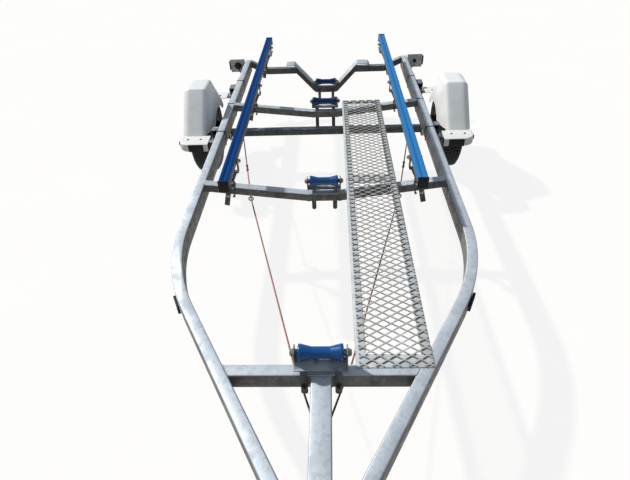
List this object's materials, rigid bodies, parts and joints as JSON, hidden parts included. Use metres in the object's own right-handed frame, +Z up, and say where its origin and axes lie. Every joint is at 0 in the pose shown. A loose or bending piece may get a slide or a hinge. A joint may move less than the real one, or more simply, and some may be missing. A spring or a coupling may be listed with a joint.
{
  "type": "boat trailer",
  "caption": "Braked boat trailer with a galvanised frame, leaf springs, white guards, blue skids and keel rollers, a side walkway, winch post and jockey wheel.",
  "frame": {"origin": "on the ground, midway along and midway across the trailer", "axes": "+Z up, -Y towards the coupling, +Y towards the rear, +X to the walkway's side"},
  "size_m": [2.032, 5.4, 1.082],
  "materials": {
    "galvanised_steel": "hot-dip galvanised, spangled",
    "dark_steel": "weathered galvanising, dull",
    "zinc_plate": "zinc plated",
    "cable_sleeve": "plastic sleeve over steel wire",
    "white_guard": "moulded plastic, satin",
    "blue_plastic": "moulded polyethylene",
    "black_plastic": "moulded, satin",
    "lamp_red": "clear coloured plastic",
    "tyre_rubber": "tyre rubber",
    "solid_rubber": "solid rubber"
  },
  "bodies": {
    "chassis": {"rail_left": "galvanised_steel", "rail_right": "galvanised_steel", "drawbar": "galvanised_steel", "front_crossmember": "galvanised_steel", "second_crossmember": "galvanised_steel", "third_crossmember": "galvanised_steel", "rear_crossmember": "galvanised_steel", "keel_guide_wings": "galvanised_steel", "axle_beam": "galvanised_steel", "springs": "dark_steel", "spring_clamps": "zinc_plate", "spring_hangers": "galvanised_steel", "brake_calipers": "dark_steel", "brake_cables": "cable_sleeve", "cable_guides": "dark_steel", "guard_left": "white_guard", "guard_right": "white_guard", "guard_brackets": "galvanised_steel", "skid_strips": "blue_plastic", "skid_beams": "galvanised_steel", "skid_caps": "black_plastic", "skid_brackets": "galvanised_steel", "roller_brackets": "galvanised_steel", "walkway_frame": "galvanised_steel", "walkway_mesh": "galvanised_steel", "winch_post": "galvanised_steel", "winch": "zinc_plate", "bow_stop": "blue_plastic", "coupling": "zinc_plate", "handbrake_lever": "zinc_plate", "lamp_brackets": "galvanised_steel", "tail_lamps": "lamp_red", "side_markers": "black_plastic", "jockey_clamp": "zinc_plate"},
    "wheel_left": {"tyre_left": "tyre_rubber", "rim_left": "galvanised_steel", "hub_left": "dark_steel"},
    "wheel_right": {"tyre_right": "tyre_rubber", "rim_right": "galvanised_steel", "hub_right": "dark_steel"},
    "roller_front": {"keel_roller_front": "blue_plastic"},
    "roller_second": {"keel_roller_second": "blue_plastic"},
    "roller_third": {"keel_roller_third": "blue_plastic"},
    "roller_rear": {"keel_roller_rear": "blue_plastic"},
    "jockey_stand": {"jockey_tube": "galvanised_steel"},
    "jockey_slide": {"jockey_leg": "galvanised_steel"},
    "jockey_swivel": {"jockey_fork": "galvanised_steel"},
    "jockey_roll": {"jockey_wheel": "solid_rubber"}
  },
  "joints": [
    {"name": "wheel_spin_left", "type": "hinge", "parent": "chassis", "child": "wheel_left", "pos_m": [-0.921, 1.644, 0.29], "axis": [1, 0, 0], "continuous": true},
    {"name": "wheel_spin_right", "type": "hinge", "parent": "chassis", "child": "wheel_right", "pos_m": [0.921, 1.644, 0.29], "axis": [1, 0, 0], "continuous": true},
    {"name": "roller_spin_front", "type": "hinge", "parent": "chassis", "child": "roller_front", "pos_m": [0, -0.695, 0.575], "axis": [1, 0, 0], "continuous": true},
    {"name": "roller_spin_second", "type": "hinge", "parent": "chassis", "child": "roller_second", "pos_m": [0, 0.585, 0.49], "axis": [1, 0, 0], "continuous": true},
    {"name": "roller_spin_third", "type": "hinge", "parent": "chassis", "child": "roller_third", "pos_m": [0, 1.705, 0.499], "axis": [1, 0, 0], "continuous": true},
    {"name": "roller_spin_rear", "type": "hinge", "parent": "chassis", "child": "roller_rear", "pos_m": [0, 2.655, 0.293], "axis": [1, 0, 0], "continuous": true},
    {"name": "jockey_swing", "type": "hinge", "parent": "chassis", "child": "jockey_stand", "pos_m": [-0.08555, -2.25, 0.4595], "axis": [1, 0, 0], "range_deg": [0, 90]},
    {"name": "jockey_wind", "type": "slide", "parent": "jockey_stand", "child": "jockey_slide", "axis": [0, 0, 1], "range_m": [0, 0.185]},
    {"name": "jockey_caster", "type": "hinge", "parent": "jockey_slide", "child": "jockey_swivel", "pos_m": [-0.08555, -2.25, 0.217], "axis": [0, 0, 1], "continuous": true},
    {"name": "jockey_wheel_spin", "type": "hinge", "parent": "jockey_swivel", "child": "jockey_roll", "pos_m": [-0.08555, -2.285, 0.1], "axis": [1, 0, 0], "continuous": true}
  ]
}
